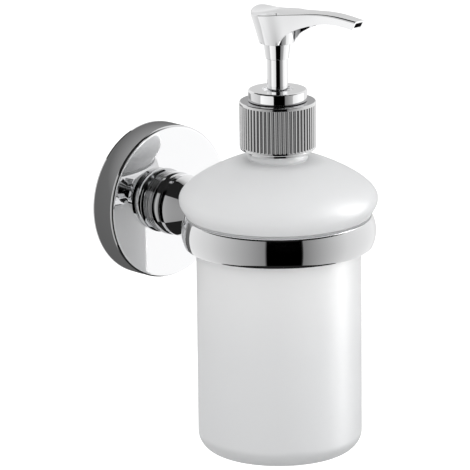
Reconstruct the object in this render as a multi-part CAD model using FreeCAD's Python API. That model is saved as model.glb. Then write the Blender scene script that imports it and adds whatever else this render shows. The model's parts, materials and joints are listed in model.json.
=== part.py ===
import FreeCAD, Part

import math
import os

# Wall mounted soap dispenser: a frosted glass pump bottle that hangs in a chrome ring on a wall post.
# Millimetres. The wall is the plane Y = 0 and the object stands out along -Y, with Z up.
# The origin is the centre of the wall face. The bottle's axis is vertical, at Y = -REACH.

REACH = 77.4             # wall to the bottle's axis
SLIP = 0.05              # gap between pieces that are fitted together
RUNNING = 0.08           # radial gap where one piece slides or turns in another

# Wall mount
COVER_R = 32.1           # flange cover
COVER_DEPTH = 11.9
COVER_WALL = 1.8
COVER_EDGE = 1.2
PLATE_R = 28.2           # wall bracket
PLATE_THICK = 2.2
PLATE_RIM = 2.0
PLATE_RIM_DEPTH = 8.0
WALL_HOLE_R = 2.5
WALL_HOLE_PITCH = 32.0
GRUB_R = 2.0
GRUB_Y = -5.0

# Post
POST_R = 13.4            # widest part of the knob
FOOT_RING_R = 13.0
FOOT_RING_THICK = 1.3
GROOVE_RING_R = 12.1
GROOVE_RING_THICK = 1.3
POST_NECK_R = 5.6
KNOB_CURVE = [(13.4, 24.5), (5.6, 27.0), (5.6, 33.5)]    # egg shaped run from the knob to its neck
POST_BOLT_R = 3.0
POST_BOLT_HEAD_R = 5.0
POST_BOLT_HEAD = 3.5
POST_BOLT_SOCKET_R = 2.3
POST_BOLT_SOCKET = 2.2
WASHER_R = 6.5
WASHER_THICK = 1.0
POST_BOLT_END = 22.0     # depth from the wall that the post bolt reaches
RING_SCREW_R = 2.0
RING_SCREW_HEAD_R = 3.8
RING_SCREW_SOCKET_R = 1.4
RING_SCREW_SOCKET = 1.2
RING_SCREW_END = 28.0    # depth from the wall that the ring screw reaches

# Ring that holds the bottle
RING_R = 39.5            # outer radius at mid height
RING_EDGE_R = 38.0       # outer radius at the top and bottom edges
RING_BORE_R = 36.4
RING_HALF = 6.2          # half of the band's height
LINER_BORE_R = 33.9
LINER_LIP_R = 37.6
LINER_LIP_TOP = 6.95
LINER_BOTTOM = -6.0
LINER_CHAMFER_W = 1.5    # lead-in at the top of the liner's bore
LINER_CHAMFER_H = 1.8

# Bottle
BODY_R = 33.5
BOTTLE_BASE = -91.7
BASE_CORNER = 7.8
GLASS = 3.0
FLOOR_TOP = -88.4
SEAT_Z = 7.0             # flat under the dome that rests on the liner
RIM_R = 40.3             # widest part of the dome
RIM_Z = 13.6
SHOULDER_R = 20.15       # where the dome turns into the flat shoulder
SHOULDER_Z = 28.56
PUNT_DEPTH = 0.8         # shallow hollow under the base, inside its foot
PUNT_R = 22.0
FOOT_R = 24.0
SEAT_FILLET = 1.5
SEAT_CORNER = 0.44       # how far the fillet's middle keeps off the corner
SEAT_R = 37.5
NECK_R = 11.2
NECK_BEAD_R = 12.2
NECK_RIM = 49.4
MOUTH_R = 9.2
THREAD_R = 12.05
THREAD_PITCH = 4.23
THREAD_TURNS = 1.5
THREAD_START = 38.0
NECK_LAND_R = 12.05      # short land under the thread that carries the neck ring
NECK_RING_R = 12.7
NECK_RING_LOW = 32.6
NECK_RING_TOP = 34.0

# Screw cap and collar
CAP_R = 15.5
CAP_LOW = 34.2
CAP_TOP = 53.9
CAP_LIP = 1.4            # smooth bands above and below the ribs
CAP_SHELL = 1.0
CAP_OPENING_R = 8.3
RIBS = 58
RIB_DEPTH = 0.6
INSERT_BORE_R = 12.4
INSERT_WEB_LOW = 51.7
COLLAR_R = 11.9
COLLAR_LOW = 54.1
COLLAR_TOP = 58.7
COLLAR_RECESS_R = 6.2
COLLAR_RECESS = 0.9

# Pump
STROKE = 12.0
STEM_R = 4.2
STEM_BORE_R = 2.6
STEM_LOW = 53.0
STEM_TOP = 76.5
FERRULE_LOW = COLLAR_TOP + STROKE + 0.6
FERRULE_TOP = 77.5
FERRULE_LOW_R = 4.75
FERRULE_TOP_R = 5.5
ROD_R = 2.5
ROD_LOW = 41.0
ROD_TOP = 75.0
ROD_BORE_R = 0.9
CHAMBER_R = 7.0
CHAMBER_BORE_R = 5.5
WIPER_POCKET = 1.0       # pocket at the chamber's mouth for the stem wiper, beyond the bore
WIPER_LENGTH = 1.3
CHAMBER_NECK_R = 8.0
CHAMBER_FLANGE_R = 11.8
CHAMBER_FLANGE_LOW = 50.45
CHAMBER_FLANGE_TOP = 51.6
CHAMBER_TOP = 56.2
CHAMBER_FLOOR = 10.0
CHAMBER_TAIL = 2.0
CHAMBER_TAIL_R = 4.4
PISTON_R = 5.42
PISTON_LOW = 40.0
PISTON_TOP = 44.0
TUBE_R = 3.0
TUBE_BORE_R = 2.0
TUBE_LOW = -84.0
TUBE_TOP = 8.9
INLET_BALL_R = 1.7
INLET_SEAT_R = 1.2
INLET_POCKET_R = 1.8
OUTLET_BALL_R = 1.3
OUTLET_POCKET_R = 1.4
OUTLET_POCKET_TOP = 45.0
CAGE_LOW = 14.0
CAGE_TOP = 15.0
SPRING_R = 4.2
SPRING_WIRE_R = 0.45
SPRING_TURNS = 8
WIRE_SIDES = 8

# Pump head
HEAD_LOW = 77.8
HEAD_LOW_R = 7.3
HEAD_R = 10.8
HEAD_FLARE_TOP = 90.0
SPOUT_REACH = 47.3       # bottle's axis to the spout's tip
SPOUT_TIP_HALF = 2.85
SPOUT_TIP_LOW = 89.9
SPOUT_TIP_TOP = 93.45
SPOUT_TIP_SLANT = 2.0    # how far the lower edge of the tip stands back
NOZZLE_W = 3.6
NOZZLE_H = 2.0
DUCT_R = 1.1
DUCT_START_Z = 87.2      # the duct climbs from the stem, then runs level along the spout
DUCT_BEND = 30.0
DUCT_BEND_Z = 92.1

BOTTLE_AXIS = FreeCAD.Vector(0, -REACH, 0)
WALL_OUT = FreeCAD.Vector(0, -1, 0)
UP = FreeCAD.Vector(0, 0, 1)


def closed_face(items, place):
    """Face inside a closed outline. A point is reached by a straight line, a list of two points by
    an arc (through, to), and a list of three by a cubic curve (control, control, to)."""
    last_item = items[-1]
    last = last_item[-1] if isinstance(last_item, list) else last_item
    edges = []
    for item in items:
        run = [place(*point) for point in ([last] + item if isinstance(item, list) else [last, item])]
        if len(run) == 2:
            edges.append(Part.makeLine(run[0], run[1]))
        elif len(run) == 3:
            edges.append(Part.Arc(*run).toShape())
        else:
            curve = Part.BezierCurve()
            curve.setPoles(run)
            edges.append(curve.toShape())
        last = item[-1] if isinstance(item, list) else item
    return Part.Face(Part.Wire(edges))


def turned(*items):
    """Solid of revolution about the bottle's axis from an outline of (radius, height)."""
    face = closed_face(items, lambda r, z: FreeCAD.Vector(r, -REACH, z))
    return face.revolve(BOTTLE_AXIS, UP, 360)


def turned_on_post(*items):
    """Solid of revolution about the post's axis from an outline of (radius, distance from the wall)."""
    face = closed_face(items, lambda r, d: FreeCAD.Vector(r, -d, 0))
    return face.revolve(FreeCAD.Vector(0, 0, 0), WALL_OUT, 360)


def rod(radius, low, high):
    """Round bar on the bottle's axis."""
    return Part.makeCylinder(radius, high - low, FreeCAD.Vector(0, -REACH, low), UP)


def ring(radius, bore, low, high):
    """Plain ring on the bottle's axis."""
    return rod(radius, low, high).cut(rod(bore, low, high))


def post_rod(radius, near, far):
    """Round bar on the post's axis, between two distances from the wall."""
    return Part.makeCylinder(radius, far - near, FreeCAD.Vector(0, -near, 0), WALL_OUT)


def post_ring(radius, bore, near, far):
    """Plain ring on the post's axis."""
    return post_rod(radius, near, far).cut(post_rod(bore, near, far))


def hexagon_on_post(radius, near, far):
    """Hexagonal bar on the post's axis, for a driver socket."""
    corners = []
    for k in range(7):
        turn = math.radians(60 * k)
        corners.append(FreeCAD.Vector(radius * math.cos(turn), -near, radius * math.sin(turn)))
    return Part.Face(Part.makePolygon(corners)).extrude(WALL_OUT * (far - near))


def smooth_edge(points):
    """Smooth curve through the given vectors."""
    curve = Part.BSplineCurve()
    curve.interpolate(points)
    return curve.toShape()


# Wall mount

def wall_bracket():
    plate = turned_on_post(
        (0, 0), (PLATE_R, 0), (PLATE_R, PLATE_RIM_DEPTH), (PLATE_R - PLATE_RIM, PLATE_RIM_DEPTH),
        (PLATE_R - PLATE_RIM, PLATE_THICK), (0, PLATE_THICK))
    for side in (-1, 1):
        centre = FreeCAD.Vector(side * WALL_HOLE_PITCH / 2, 0, 0)
        plate = plate.cut(Part.makeCylinder(WALL_HOLE_R, PLATE_THICK, centre, WALL_OUT))
    return plate


def flange_cover():
    bore = POST_BOLT_R + SLIP
    edge = COVER_EDGE * (1 - math.sqrt(0.5))
    cover = turned_on_post(
        (COVER_R - COVER_WALL, 0), (COVER_R, 0), (COVER_R, COVER_DEPTH - COVER_EDGE),
        [(COVER_R - edge, COVER_DEPTH - edge), (COVER_R - COVER_EDGE, COVER_DEPTH)],
        (bore, COVER_DEPTH), (bore, COVER_DEPTH - COVER_WALL),
        (COVER_R - COVER_WALL, COVER_DEPTH - COVER_WALL))
    drill = Part.makeCylinder(GRUB_R + SLIP, COVER_R, FreeCAD.Vector(0, GRUB_Y, 0), -UP)
    return cover.cut(drill)


def grub_screw():
    outer = -COVER_R + 0.4
    tip = -PLATE_R - SLIP
    screw = Part.makeCylinder(GRUB_R, tip - outer, FreeCAD.Vector(0, GRUB_Y, outer), UP)
    socket = Part.makeCylinder(GRUB_R / 2, (tip - outer) / 2, FreeCAD.Vector(0, GRUB_Y, outer), UP)
    return screw.cut(socket)


FOOT_RING_END = COVER_DEPTH + FOOT_RING_THICK
KNOB_START = FOOT_RING_END + GROOVE_RING_THICK


def rounded_post_ring(radius, near, far):
    """Ring on the post with a half round outer edge."""
    bore = POST_BOLT_R + SLIP
    half = (far - near) / 2
    return turned_on_post(
        (bore, near), (radius - half, near), [(radius, near + half), (radius - half, far)], (bore, far))


def post_knob():
    start = KNOB_START
    end = REACH - RING_R + 3
    body = turned_on_post(
        (0, start), (POST_R - 0.5, start), [(POST_R - 0.1, start + 0.2), (POST_R, start + 0.6)],
        KNOB_CURVE,
        (POST_NECK_R, end), (0, end))
    body = body.cut(band_blank())
    body = body.cut(post_rod(POST_BOLT_R + SLIP, start, POST_BOLT_END + 0.5))
    return body.cut(post_rod(RING_SCREW_R + SLIP, RING_SCREW_END - 0.5, REACH))


WASHER_FAR = COVER_DEPTH - COVER_WALL
WASHER_NEAR = WASHER_FAR - WASHER_THICK
BOLT_HEAD_NEAR = WASHER_NEAR - POST_BOLT_HEAD


def post_bolt():
    head = post_rod(POST_BOLT_HEAD_R, BOLT_HEAD_NEAR, WASHER_NEAR)
    bolt = head.fuse(post_rod(POST_BOLT_R, WASHER_NEAR, POST_BOLT_END))
    return bolt.cut(hexagon_on_post(POST_BOLT_SOCKET_R, BOLT_HEAD_NEAR, BOLT_HEAD_NEAR + POST_BOLT_SOCKET))


# Ring

def band_blank():
    """The band's outer shape, filled in."""
    return turned(
        (0, -RING_HALF), (RING_EDGE_R, -RING_HALF), [(RING_R, 0), (RING_EDGE_R, RING_HALF)], (0, RING_HALF))


RING_SCREW_FACE = REACH - RING_BORE_R + 0.15
RING_SCREW_CONE = RING_SCREW_HEAD_R - RING_SCREW_R


def ring_holder():
    band = band_blank().cut(rod(RING_BORE_R, -RING_HALF, RING_HALF))
    sink = turned_on_post(
        (0, REACH - RING_R - 1), (RING_SCREW_R + SLIP, REACH - RING_R - 1),
        (RING_SCREW_R + SLIP, RING_SCREW_FACE - RING_SCREW_CONE - 0.2),
        (RING_SCREW_HEAD_R + SLIP, RING_SCREW_FACE - 0.2),
        (RING_SCREW_HEAD_R + SLIP, REACH - RING_BORE_R + 1),
        (0, REACH - RING_BORE_R + 1))
    return band.cut(sink)


def ring_screw():
    face = RING_SCREW_FACE - 0.2
    screw = turned_on_post(
        (0, RING_SCREW_END), (RING_SCREW_R, RING_SCREW_END), (RING_SCREW_R, face - RING_SCREW_CONE),
        (RING_SCREW_HEAD_R, face), (0, face))
    return screw.cut(hexagon_on_post(RING_SCREW_SOCKET_R, face - RING_SCREW_SOCKET, face))


def ring_liner():
    outer = RING_BORE_R - RUNNING
    lip_low = RING_HALF + SLIP
    return turned(
        (LINER_BORE_R, LINER_BOTTOM), (outer, LINER_BOTTOM), (outer, lip_low), (LINER_LIP_R, lip_low),
        (LINER_LIP_R, LINER_LIP_TOP), (LINER_BORE_R + LINER_CHAMFER_W, LINER_LIP_TOP),
        (LINER_BORE_R, LINER_LIP_TOP - LINER_CHAMFER_H))


# Bottle

def bottle():
    corner = BASE_CORNER * (1 - math.sqrt(0.5))
    inner_r = BODY_R - GLASS
    outline = turned(
        (0, BOTTLE_BASE + PUNT_DEPTH), (PUNT_R, BOTTLE_BASE + PUNT_DEPTH), (FOOT_R, BOTTLE_BASE),
        (BODY_R - BASE_CORNER, BOTTLE_BASE),
        [(BODY_R - corner, BOTTLE_BASE + corner), (BODY_R, BOTTLE_BASE + BASE_CORNER)],
        (BODY_R, SEAT_Z - SEAT_FILLET),
        [(BODY_R + SEAT_CORNER, SEAT_Z - SEAT_CORNER), (BODY_R + SEAT_FILLET, SEAT_Z)],
        (SEAT_R, SEAT_Z), [(39.6, 10.82), (RIM_R, RIM_Z)],
        [(RIM_R, RIM_Z + 5.56), (27.26, 25.57), (SHOULDER_R, SHOULDER_Z)],
        [(17.0, 29.9), (14.0, 29.3), (NECK_BEAD_R - 0.4, 29.9)],
        [(NECK_BEAD_R, 31.0), (NECK_BEAD_R - 0.4, NECK_RING_LOW - SLIP)],
        (NECK_LAND_R, NECK_RING_LOW - SLIP), (NECK_LAND_R, NECK_RING_TOP),
        (NECK_R, NECK_RING_TOP), (NECK_R, NECK_RIM),
        (MOUTH_R, NECK_RIM), (MOUTH_R, 27.0),
        [(14.5, 26.2), (19.0, 25.6), (25.0, 22.9)],
        [(33.0, 19.3), (RIM_R - GLASS, 17.5), (RIM_R - GLASS, RIM_Z)],
        [(inner_r + 5.6, 9.6), (inner_r, 5.0)],
        (inner_r, FLOOR_TOP + 3.0), [(inner_r - 0.88, FLOOR_TOP + 0.88), (inner_r - 3.0, FLOOR_TOP)],
        (0, FLOOR_TOP))
    return outline.fuse(neck_thread()).removeSplitter()


def neck_thread():
    """Helical ridge on the neck, with its root sunk into the glass."""
    helix = Part.makeHelix(THREAD_PITCH, THREAD_PITCH * THREAD_TURNS, NECK_R)
    root = NECK_R - 0.3
    corners = [(root, -1.1), (root, 1.1), (THREAD_R, 0.4), (THREAD_R, -0.4), (root, -1.1)]
    section = Part.makePolygon([FreeCAD.Vector(r, 0, z) for r, z in corners])
    ridge = Part.Wire(helix.Edges).makePipeShell([section], True, True)
    ridge.translate(FreeCAD.Vector(0, -REACH, THREAD_START))
    return ridge


# Cap

def cap_shell():
    smooth_top = CAP_TOP - CAP_LIP
    smooth_low = CAP_LOW + CAP_LIP
    chamfer = 0.5
    core_r = CAP_R - RIB_DEPTH
    core = turned(
        (0, CAP_LOW), (core_r, CAP_LOW), (core_r, smooth_top), (CAP_R, smooth_top),
        (CAP_R, CAP_TOP - chamfer),
        (CAP_R - chamfer, CAP_TOP), (0, CAP_TOP))
    points = []
    for k in range(2 * RIBS + 1):
        radius = CAP_R if k % 2 == 0 else core_r
        turn = math.pi * k / RIBS
        points.append(FreeCAD.Vector(radius * math.cos(turn), radius * math.sin(turn) - REACH, smooth_low))
    fluted = Part.Face(Part.makePolygon(points)).extrude(UP * (smooth_top - smooth_low))
    shell = core.fuse(fluted)
    shell = shell.cut(rod(CAP_R - CAP_SHELL, CAP_LOW, CAP_TOP - CAP_SHELL))
    return shell.cut(rod(CAP_OPENING_R, CAP_LOW, CAP_TOP))


def cap_insert():
    outer = CAP_R - CAP_SHELL - SLIP
    top = CAP_TOP - CAP_SHELL - SLIP
    body = ring(outer, INSERT_BORE_R, CAP_LOW + 0.3, INSERT_WEB_LOW)
    return body.fuse(ring(outer, CAP_OPENING_R, INSERT_WEB_LOW, top)).removeSplitter()


def collar():
    edge = 0.8
    round_off = edge * (1 - math.sqrt(0.5))
    stem_hole = STEM_R + RUNNING
    socket = CHAMBER_NECK_R + SLIP
    return turned(
        (socket, COLLAR_LOW), (COLLAR_R, COLLAR_LOW), (COLLAR_R, COLLAR_TOP - edge),
        [(COLLAR_R - round_off, COLLAR_TOP - round_off), (COLLAR_R - edge, COLLAR_TOP)],
        (COLLAR_RECESS_R, COLLAR_TOP), (COLLAR_RECESS_R, COLLAR_TOP - COLLAR_RECESS),
        (stem_hole, COLLAR_TOP - COLLAR_RECESS), (stem_hole, CHAMBER_TOP + SLIP),
        (socket, CHAMBER_TOP + SLIP))


# Pump

def pump_chamber():
    wiper_low = CHAMBER_TOP - WIPER_LENGTH
    return turned(
        (TUBE_R + SLIP, CHAMBER_TAIL), (CHAMBER_TAIL_R, CHAMBER_TAIL), (CHAMBER_TAIL_R, CHAMBER_FLOOR),
        (CHAMBER_R, CAGE_LOW), (CHAMBER_R, CHAMBER_FLANGE_LOW), (CHAMBER_FLANGE_R, CHAMBER_FLANGE_LOW),
        (CHAMBER_FLANGE_R, CHAMBER_FLANGE_TOP), (CHAMBER_NECK_R, CHAMBER_FLANGE_TOP),
        (CHAMBER_NECK_R, CHAMBER_TOP), (CHAMBER_BORE_R + WIPER_POCKET, CHAMBER_TOP),
        (CHAMBER_BORE_R + WIPER_POCKET, wiper_low),
        (CHAMBER_BORE_R, wiper_low), (CHAMBER_BORE_R, CAGE_LOW), (INLET_POCKET_R, CAGE_LOW),
        (INLET_POCKET_R, CHAMBER_FLOOR), (INLET_SEAT_R, CHAMBER_FLOOR), (INLET_SEAT_R, TUBE_TOP + SLIP),
        (TUBE_R + SLIP, TUBE_TOP + SLIP))


def ball_on_seat(ball_r, seat_r, seat_z):
    """Valve ball that rests on the rim of a round hole."""
    height = math.sqrt(ball_r ** 2 - seat_r ** 2)
    return Part.makeSphere(ball_r, FreeCAD.Vector(0, -REACH, seat_z + height + SLIP))


def return_spring():
    """Helix of octagonal wire, which keeps its flats few."""
    low = CAGE_TOP + SPRING_WIRE_R + SLIP
    high = PISTON_LOW - SPRING_WIRE_R - SLIP
    helix = Part.makeHelix((high - low) / SPRING_TURNS, high - low, SPRING_R)
    corners = []
    for k in range(WIRE_SIDES + 1):
        turn = 2 * math.pi * k / WIRE_SIDES
        corners.append(
            FreeCAD.Vector(SPRING_R + SPRING_WIRE_R * math.cos(turn), 0, SPRING_WIRE_R * math.sin(turn)))
    coil = Part.Wire(helix.Edges).makePipeShell([Part.makePolygon(corners)], True, True)
    coil.translate(FreeCAD.Vector(0, -REACH, low))
    return coil


def piston_seal():
    """Cup on the rod's end, waisted between its two lips."""
    lip = 1.2
    waist = PISTON_R - 0.9
    socket = ROD_R + SLIP
    return turned(
        (ROD_BORE_R, PISTON_LOW), (PISTON_R, PISTON_LOW), (PISTON_R, PISTON_LOW + lip),
        (waist, PISTON_LOW + lip),
        (waist, PISTON_TOP - lip), (PISTON_R, PISTON_TOP - lip), (PISTON_R, PISTON_TOP), (socket, PISTON_TOP),
        (socket, ROD_LOW - SLIP), (ROD_BORE_R, ROD_LOW - SLIP))


def piston_rod():
    return turned(
        (OUTLET_POCKET_R, ROD_LOW), (ROD_R, ROD_LOW), (ROD_R, ROD_TOP), (ROD_BORE_R, ROD_TOP),
        (ROD_BORE_R, OUTLET_POCKET_TOP), (OUTLET_POCKET_R, OUTLET_POCKET_TOP))


# Pump head

def spout_plan():
    """The head seen from above, as a tall block: a round back that narrows to the spout's tip."""
    side = [(0.0, HEAD_R), (8.0, 8.4), (21.4, 5.2), (SPOUT_REACH, SPOUT_TIP_HALF)]
    left = smooth_edge([FreeCAD.Vector(-w, -REACH - s, 0) for s, w in side])
    right = smooth_edge([FreeCAD.Vector(w, -REACH - s, 0) for s, w in reversed(side)])
    tip = Part.makeLine(left.Vertexes[-1].Point, right.Vertexes[0].Point)
    back = Part.Arc(
        right.Vertexes[-1].Point, FreeCAD.Vector(0, HEAD_R - REACH, 0), left.Vertexes[0].Point).toShape()
    return Part.Face(Part.Wire([left, tip, right, back])).extrude(UP * 2 * SPOUT_TIP_TOP)


def side_view(top, low):
    """Block as wide as the head between two curves, given as (distance from the axis, height)."""
    upper = smooth_edge([FreeCAD.Vector(-HEAD_R - 1, -REACH - s, z) for s, z in top])
    lower = smooth_edge([FreeCAD.Vector(-HEAD_R - 1, -REACH - s, z) for s, z in reversed(low)])
    tip = Part.makeLine(upper.Vertexes[-1].Point, lower.Vertexes[0].Point)
    back = Part.makeLine(lower.Vertexes[-1].Point, upper.Vertexes[0].Point)
    return Part.Face(Part.Wire([upper, tip, lower, back])).extrude(FreeCAD.Vector(2 * HEAD_R + 2, 0, 0))


def pump_head():
    tip_low = SPOUT_REACH - SPOUT_TIP_SLANT
    back_top = [(-HEAD_R - 1, 92.4), (-8.3, 90.6), (-4.0, 90.05), (0, 90.4)]
    spout_top = [(12.5, 92.0), (27, 93.8), (36, 94.15), (SPOUT_REACH, SPOUT_TIP_TOP)]
    blade_low = [
        (5.0, HEAD_LOW), (10.6, 82.2), (20.0, 87.4), (30.7, 90.3), (38.0, 90.6), (tip_low, SPOUT_TIP_LOW)]
    under_top = side_view(
        back_top + spout_top, [(-HEAD_R - 1, HEAD_LOW), (10, HEAD_LOW), (SPOUT_REACH, HEAD_LOW)])
    funnel = turned(
        (0, HEAD_LOW), (HEAD_LOW_R, HEAD_LOW), (HEAD_R, HEAD_FLARE_TOP), (HEAD_R, SPOUT_TIP_TOP),
        (0, SPOUT_TIP_TOP))
    blade_top = [(5.0, 91.0)] + spout_top
    flare = (HEAD_R - HEAD_LOW_R) / (HEAD_FLARE_TOP - HEAD_LOW)
    wide = HEAD_LOW_R + flare * (SPOUT_TIP_TOP - HEAD_LOW)
    section = [(-HEAD_LOW_R, HEAD_LOW), (HEAD_LOW_R, HEAD_LOW), (wide, SPOUT_TIP_TOP), (-wide, SPOUT_TIP_TOP)]
    section.append(section[0])
    drafted = Part.Face(Part.makePolygon([FreeCAD.Vector(x, -REACH, z) for x, z in section]))
    drafted = drafted.extrude(WALL_OUT * (SPOUT_REACH + 1))
    blade = spout_plan().common(side_view(blade_top, blade_low)).common(drafted)
    head = funnel.common(under_top).fuse(blade)
    nozzle_z = (SPOUT_TIP_LOW + SPOUT_TIP_TOP) / 2
    nozzle = Part.makeBox(
        NOZZLE_W, 6, NOZZLE_H,
        FreeCAD.Vector(-NOZZLE_W / 2, -REACH - SPOUT_REACH - 1, nozzle_z - NOZZLE_H / 2))
    path = [(0, DUCT_START_Z), (DUCT_BEND, DUCT_BEND_Z), (SPOUT_REACH - 3, nozzle_z)]
    for near, far in zip(path, path[1:]):
        start = FreeCAD.Vector(0, -REACH - near[0], near[1])
        run = FreeCAD.Vector(0, near[0] - far[0], far[1] - near[1])
        head = head.cut(Part.makeCylinder(DUCT_R, run.Length, start, run))
    head = head.cut(nozzle).cut(rod(STEM_BORE_R - 1, HEAD_LOW - 1, DUCT_START_Z))
    return head.removeSplitter()


def stem_ferrule():
    bore = STEM_R + SLIP
    return turned(
        (bore, FERRULE_LOW), (FERRULE_LOW_R, FERRULE_LOW), (FERRULE_TOP_R, FERRULE_TOP),
        (STEM_BORE_R, FERRULE_TOP),
        (STEM_BORE_R, STEM_TOP + SLIP), (bore, STEM_TOP + SLIP))


def wiper():
    low = CHAMBER_TOP - WIPER_LENGTH + SLIP
    return ring(CHAMBER_BORE_R + WIPER_POCKET - SLIP, STEM_R + RUNNING, low, CHAMBER_TOP)


PIECES = {
    "wall_bracket": wall_bracket,
    "flange_cover": flange_cover,
    "grub_screw": grub_screw,
    "post_foot_ring": lambda: rounded_post_ring(FOOT_RING_R, COVER_DEPTH, FOOT_RING_END),
    "post_groove_ring": lambda: rounded_post_ring(GROOVE_RING_R, FOOT_RING_END, KNOB_START),
    "post_knob": post_knob,
    "post_bolt": post_bolt,
    "post_washer": lambda: post_ring(WASHER_R, POST_BOLT_R + SLIP, WASHER_NEAR, WASHER_FAR),
    "ring_holder": ring_holder,
    "ring_screw": ring_screw,
    "ring_liner": ring_liner,
    "bottle": bottle,
    "neck_ring": lambda: ring(NECK_RING_R, NECK_LAND_R + SLIP, NECK_RING_LOW, NECK_RING_TOP),
    "neck_gasket": lambda: ring(CHAMBER_FLANGE_R, MOUTH_R, NECK_RIM + SLIP, CHAMBER_FLANGE_LOW - SLIP),
    "cap_shell": cap_shell,
    "cap_insert": cap_insert,
    "collar": collar,
    "pump_chamber": pump_chamber,
    "dip_tube": lambda: ring(TUBE_R, TUBE_BORE_R, TUBE_LOW, TUBE_TOP),
    "inlet_cage": lambda: ring(CHAMBER_BORE_R - SLIP, INLET_SEAT_R, CAGE_LOW, CAGE_TOP),
    "inlet_ball": lambda: ball_on_seat(INLET_BALL_R, INLET_SEAT_R, CHAMBER_FLOOR),
    "return_spring": return_spring,
    "stem_wiper": wiper,
    "piston_rod": piston_rod,
    "piston_seal": piston_seal,
    "outlet_ball": lambda: ball_on_seat(OUTLET_BALL_R, ROD_BORE_R, ROD_LOW - SLIP),
    "pump_head": pump_head,
    "stem_ferrule": stem_ferrule,
    "stem_sleeve": lambda: ring(STEM_R, STEM_BORE_R, STEM_LOW, STEM_TOP),
}

os.makedirs("parts", exist_ok=True)
for node, make in PIECES.items():
    shape = make()
    if len(shape.Solids) == 1:
        shape = shape.Solids[0]
    shape.exportStep("parts/" + node + ".step")
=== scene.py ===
import math

import bmesh
import bpy
from mathutils import Matrix, Vector
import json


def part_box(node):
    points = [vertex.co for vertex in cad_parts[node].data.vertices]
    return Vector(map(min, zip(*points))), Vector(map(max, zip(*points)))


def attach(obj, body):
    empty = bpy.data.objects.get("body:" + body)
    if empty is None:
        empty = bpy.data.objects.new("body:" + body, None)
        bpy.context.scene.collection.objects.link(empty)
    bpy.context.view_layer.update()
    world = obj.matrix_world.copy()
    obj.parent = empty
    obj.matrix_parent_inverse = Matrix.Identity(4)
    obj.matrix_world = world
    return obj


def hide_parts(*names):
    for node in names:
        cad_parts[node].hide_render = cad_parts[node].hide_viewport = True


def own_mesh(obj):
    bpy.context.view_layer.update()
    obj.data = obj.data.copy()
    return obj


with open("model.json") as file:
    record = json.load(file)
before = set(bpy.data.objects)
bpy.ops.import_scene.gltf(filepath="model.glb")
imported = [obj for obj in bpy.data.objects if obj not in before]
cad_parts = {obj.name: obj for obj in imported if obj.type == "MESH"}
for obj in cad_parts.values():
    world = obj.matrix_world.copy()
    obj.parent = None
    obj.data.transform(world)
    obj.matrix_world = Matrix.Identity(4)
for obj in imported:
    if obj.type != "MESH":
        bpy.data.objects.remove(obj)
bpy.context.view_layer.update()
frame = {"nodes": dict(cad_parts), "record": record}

# A wall mounted soap dispenser. Outlines are in millimetres, as (radius, height) or, on the post,
# (radius, distance from the wall); meshes are made in metres.
MM = 0.001


# ---------------------------------------------------------------- sizes from the frame

def middle(node, axis):
    low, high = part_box(node)
    return (low[axis] + high[axis]) / 2 / MM


def turned_size(node):
    """Radius, low and high of a piece that is round about the bottle's axis."""
    low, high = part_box(node)
    return (high[0] - low[0]) / 2 / MM, low[2] / MM, high[2] / MM


def post_size(node):
    """Radius, near and far of a piece that is round about the post's axis."""
    low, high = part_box(node)
    return (high[0] - low[0]) / 2 / MM, -high[1] / MM, -low[1] / MM


REACH = -middle("bottle", 1)
COVER_R, WALL, COVER_FAR = post_size("flange_cover")
FOOT_R, FOOT_NEAR, FOOT_FAR = post_size("post_foot_ring")
GROOVE_R, GROOVE_NEAR, GROOVE_FAR = post_size("post_groove_ring")
KNOB_R, KNOB_NEAR, KNOB_FAR = post_size("post_knob")
BAND_R, BAND_LOW, BAND_HIGH = turned_size("ring_holder")
LINER_R, LINER_LOW, LINER_HIGH = turned_size("ring_liner")
DOME_R, BOTTLE_LOW, BOTTLE_HIGH = turned_size("bottle")
NECK_RING_R, NECK_RING_LOW, NECK_RING_HIGH = turned_size("neck_ring")
CAP_R, CAP_LOW, CAP_HIGH = turned_size("cap_shell")
COLLAR_R, COLLAR_LOW, COLLAR_HIGH = turned_size("collar")
STEM_R, STEM_LOW, STEM_HIGH = turned_size("stem_sleeve")
FERRULE_R, FERRULE_LOW, FERRULE_HIGH = turned_size("stem_ferrule")
HEAD_R, HEAD_LOW, HEAD_HIGH = turned_size("pump_head")
SPOUT_REACH = -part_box("pump_head")[0][1] / MM - REACH
SPRING_OUT, SPRING_LOW, SPRING_HIGH = turned_size("return_spring")

EDGE = 0.12          # the smallest round that every corner gets
BAND_BORE = BAND_R - 3.1
BODY_R = 33.5
HEAD_EDGE = 0.85
COVER_EDGE = 1.2
RIBS = 58


# ---------------------------------------------------------------- node trees

class Number:
    """A number on a node's socket. Arithmetic on it adds Math nodes."""

    def __init__(self, tree, socket):
        self.tree = tree
        self.socket = socket

    def math(self, operation, first, second):
        return self.tree.number("ShaderNodeMath", {"operation": operation}, {0: first, 1: second})

    def __add__(self, other):
        return self.math("ADD", self, other)

    __radd__ = __add__

    def __mul__(self, other):
        return self.math("MULTIPLY", self, other)

    __rmul__ = __mul__

    def __sub__(self, other):
        return self.math("SUBTRACT", self, other)

    def __rsub__(self, other):
        return self.math("SUBTRACT", other, self)

    def __truediv__(self, other):
        return self.math("DIVIDE", self, other)

    def __rtruediv__(self, other):
        return self.math("DIVIDE", other, self)

    def __pow__(self, other):
        return self.math("POWER", self, other)

    def __gt__(self, other):
        return self.math("GREATER_THAN", self, other)

    def __lt__(self, other):
        return self.math("LESS_THAN", self, other)


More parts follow.
